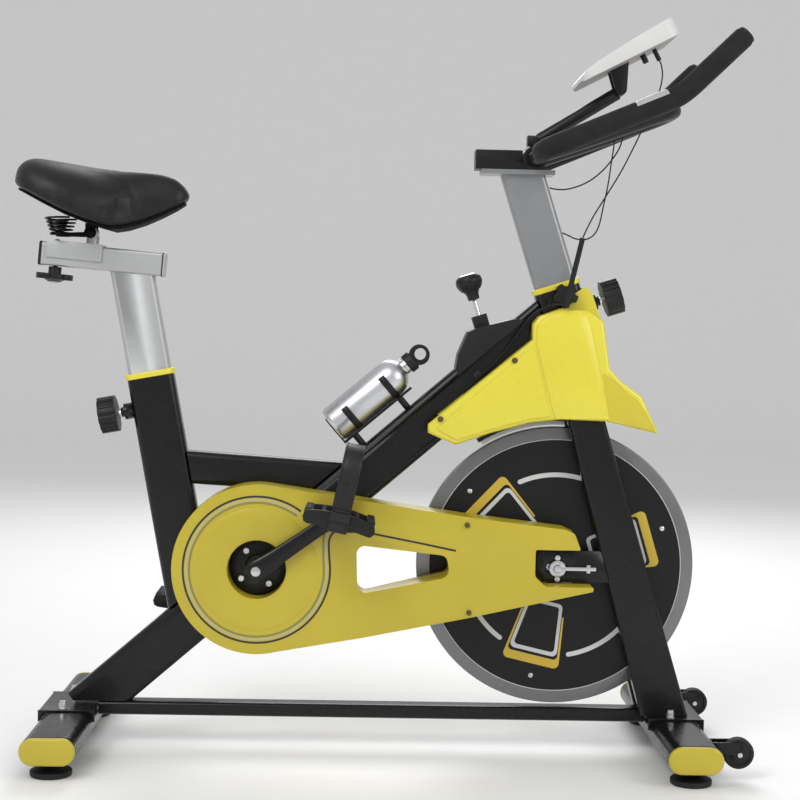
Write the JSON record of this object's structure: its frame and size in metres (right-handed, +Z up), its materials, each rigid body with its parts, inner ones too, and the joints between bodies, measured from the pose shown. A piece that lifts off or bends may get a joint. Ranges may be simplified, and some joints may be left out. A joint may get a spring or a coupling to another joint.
{
  "type": "exercise bike",
  "caption": "Indoor cycling bike with chain-driven flywheel, push brake, sliding spring saddle, bullhorn handlebar, tilting console, chain cover and bottle in a cage.",
  "frame": {"origin": "on the floor under the middle of the bike's length and width", "axes": "+X towards the handlebar and flywheel, +Y to the rider's left, +Z up"},
  "size_m": [1.25, 0.5, 1.265],
  "materials": {
    "black_paint": "gloss",
    "yellow_plastic": "satin",
    "lemon_plastic": "satin",
    "rubber_black": "matte",
    "zinc_steel": "bright",
    "black_plastic": "satin",
    "strap_plastic": "satin",
    "cable_rubber": "satin",
    "rim_steel": "polished",
    "disc_black": "satin",
    "ring_black": "satin",
    "silver_paint": "satin",
    "spring_steel": "gloss",
    "saddle_vinyl": "matte",
    "bar_steel": "satin",
    "grip_foam": "matte",
    "felt": "matte",
    "console_plastic": "satin",
    "bottle_metal": "brushed"
  },
  "bodies": {
    "frame": {"main_beam": "black_paint", "seat_tube": "black_paint", "top_tube": "black_paint", "head_tube": "black_paint", "fork_legs": "black_paint", "bottom_rail": "black_paint", "bottom_bracket": "black_paint", "axle_plates": "black_paint", "stabilisers": "black_paint", "stabiliser_caps": "yellow_plastic", "stabiliser_brackets": "black_paint", "levelling_feet": "rubber_black", "frame_bolts": "zinc_steel", "post_collars": "yellow_plastic", "chain_cover": "yellow_plastic", "chain_cover_back": "yellow_plastic", "front_shroud": "lemon_plastic", "beam_cover": "black_plastic", "flywheel_axle": "zinc_steel", "chain": "zinc_steel", "bottle_cage": "black_paint", "beam_cable": "cable_rubber"},
    "flywheel_wheel": {"flywheel": "rim_steel", "flywheel_discs": "disc_black", "flywheel_hub": "zinc_steel"},
    "crankset": {"crank_spindle": "zinc_steel", "cranks": "black_paint", "chainring": "ring_black"},
    "right_pedal_body": {"right_pedal": "black_plastic", "right_strap": "strap_plastic"},
    "left_pedal_body": {"left_pedal": "black_plastic", "left_strap": "strap_plastic"},
    "brake_plunger": {"brake_rod": "zinc_steel", "brake_pad": "black_plastic", "brake_felt": "felt"},
    "brake_knob": {"tension_knob": "black_plastic"},
    "saddle_post": {"seat_post": "silver_paint", "slider_tube": "silver_paint", "slider_caps": "black_plastic"},
    "saddle_carriage": {"carriage": "silver_paint"},
    "carriage_knob": {"slider_knob": "black_plastic"},
    "saddle": {"saddle_springs": "spring_steel", "saddle_base": "black_plastic", "saddle_cushion": "saddle_vinyl"},
    "saddle_pin_knob": {"seat_pop_pin": "black_plastic"},
    "bar_pin_knob": {"bar_pop_pin": "black_plastic"},
    "handlebar_post": {"bar_post": "silver_paint", "bar_stem": "black_plastic", "handlebar": "bar_steel", "bar_grips": "grip_foam", "console_arm": "black_plastic", "grip_wires": "cable_rubber", "console_wire": "cable_rubber"},
    "head_knob": {"side_knob": "black_plastic"},
    "console": {"console_case": "console_plastic", "console_plugs": "black_plastic"},
    "drink_bottle": {"bottle": "bottle_metal"},
    "drink_cap": {"bottle_cap": "black_plastic"},
    "wheel_right": {"right_wheel": "rubber_black"},
    "wheel_left": {"left_wheel": "rubber_black"}
  },
  "joints": [
    {"name": "flywheel_spin", "type": "hinge", "parent": "frame", "child": "flywheel_wheel", "pos_m": [0.31, 0, 0.3265], "axis": [0, 1, 0], "continuous": true},
    {"name": "crank_spin", "type": "hinge", "parent": "frame", "child": "crankset", "pos_m": [-0.203, 0, 0.321], "axis": [0, 1, 0], "continuous": true},
    {"name": "right_pedal_spin", "type": "hinge", "parent": "crankset", "child": "right_pedal_body", "pos_m": [-0.06426, -0.16, 0.41924], "axis": [0, 1, 0], "continuous": true},
    {"name": "left_pedal_spin", "type": "hinge", "parent": "crankset", "child": "left_pedal_body", "pos_m": [-0.34174, 0.16, 0.22276], "axis": [0, 1, 0], "continuous": true},
    {"name": "brake_press", "type": "slide", "parent": "frame", "child": "brake_plunger", "axis": [0.3024, 0, -0.9532], "range_m": [0, 0.0035], "stiffness_N_per_m": 2500, "springref_m": -0.006},
    {"name": "tension_turn", "type": "hinge", "parent": "brake_plunger", "child": "brake_knob", "pos_m": [0.146, 0, 0.828], "axis": [-0.3024, 0, 0.9532], "range_deg": [-360, 360]},
    {"name": "saddle_height", "type": "slide", "parent": "frame", "child": "saddle_post", "axis": [-0.1874, 0, 0.9823], "range_m": [-0.12, 0.08]},
    {"name": "saddle_slide", "type": "slide", "parent": "saddle_post", "child": "saddle_carriage", "axis": [0.9971, 0, -0.0767], "range_m": [-0.005, 0.05]},
    {"name": "carriage_knob_turn", "type": "hinge", "parent": "saddle_carriage", "child": "carriage_knob", "pos_m": [-0.56007, 0, 0.84691], "axis": [-0.0767, 0, -0.9971], "range_deg": [-90, 180]},
    {"name": "saddle_tilt", "type": "hinge", "parent": "saddle_carriage", "child": "saddle", "pos_m": [-0.5, 0, 0.885], "axis": [0, 1, 0], "range_deg": [-5, 5]},
    {"name": "saddle_pin_pull", "type": "slide", "parent": "frame", "child": "saddle_pin_knob", "axis": [-0.9823, 0, -0.1874], "range_m": [0, 0.008], "stiffness_N_per_m": 600, "springref_m": -0.01},
    {"name": "bar_pin_pull", "type": "slide", "parent": "frame", "child": "bar_pin_knob", "axis": [0.9511, 0, 0.309], "range_m": [0, 0.008], "stiffness_N_per_m": 600, "springref_m": -0.01},
    {"name": "bar_height", "type": "slide", "parent": "frame", "child": "handlebar_post", "axis": [-0.309, 0, 0.9511], "range_m": [-0.06, 0.07], "deforming": ["console_wire"]},
    {"name": "head_knob_turn", "type": "hinge", "parent": "frame", "child": "head_knob", "pos_m": [0.31394, -0.04, 0.79416], "axis": [0, -1, 0], "range_deg": [-180, 180]},
    {"name": "console_tilt", "type": "hinge", "parent": "handlebar_post", "child": "console", "pos_m": [0.403, 0, 1.15], "axis": [0, 1, 0], "range_deg": [-12, 15], "deforming": ["console_wire"]},
    {"name": "bottle_lift", "type": "slide", "parent": "frame", "child": "drink_bottle", "axis": [0.7581, 0, 0.6521], "range_m": [0, 0.035]},
    {"name": "bottle_cap_turn", "type": "hinge", "parent": "drink_bottle", "child": "drink_cap", "pos_m": [-0.08, 0, 0.561], "axis": [0.7581, 0, 0.6521], "range_deg": [0, 270]},
    {"name": "right_wheel_spin", "type": "hinge", "parent": "frame", "child": "wheel_right", "pos_m": [0.5995, -0.182, 0.046], "axis": [0, 1, 0], "continuous": true},
    {"name": "left_wheel_spin", "type": "hinge", "parent": "frame", "child": "wheel_left", "pos_m": [0.5995, 0.182, 0.046], "axis": [0, 1, 0], "continuous": true}
  ],
  "couplings": [
    {"joint": "crank_spin", "follows": "flywheel_spin", "ratio": 0.30769}
  ]
}
